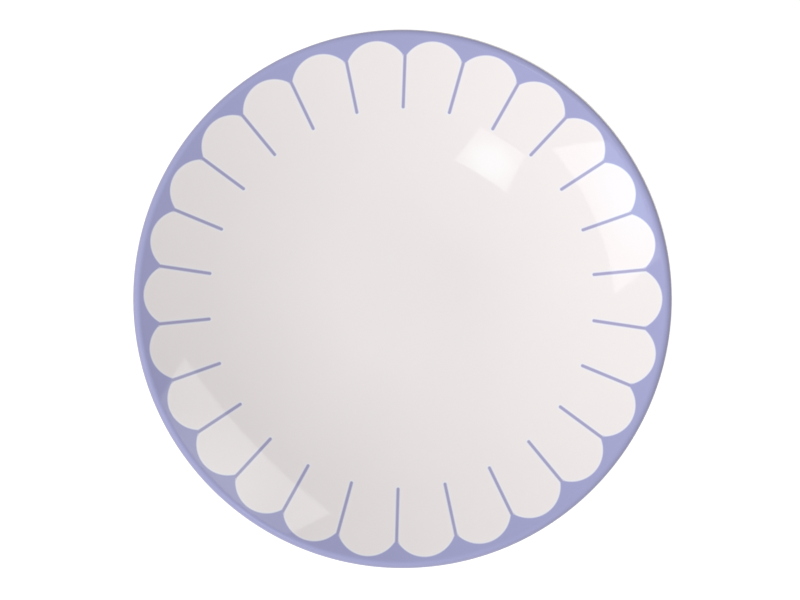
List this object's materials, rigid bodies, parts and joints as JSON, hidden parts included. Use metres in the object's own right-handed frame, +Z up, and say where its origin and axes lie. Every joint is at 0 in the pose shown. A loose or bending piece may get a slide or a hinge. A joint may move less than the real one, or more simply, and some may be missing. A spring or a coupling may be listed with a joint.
{
  "type": "dessert plate",
  "caption": "Shallow round coupe dessert plate in white glazed porcelain with a lavender scalloped border and fine lines between its petals, on a low foot ring.",
  "frame": {"origin": "middle of the plane that the foot ring stands on", "axes": "+Z up through the middle of the well; +Y towards the top of the plate as pictured, close to one line of the border; the outline is the same all round"},
  "size_m": [0.21, 0.21, 0.0275],
  "materials": {
    "bisque_clay": "matt, fine-grained fired clay, bare only under the foot ring",
    "white_glaze": "glossy, smooth, faintly warm white",
    "lavender_glaze": "glossy lavender colour sunk into the glaze in the last firing"
  },
  "bodies": {
    "root": {"clay_body": "bisque_clay", "face_glaze": "white_glaze", "scallop_band": "lavender_glaze", "petal_lines": "lavender_glaze", "back_glaze": "white_glaze", "foot_recess_glaze": "white_glaze"}
  },
  "joints": []
}
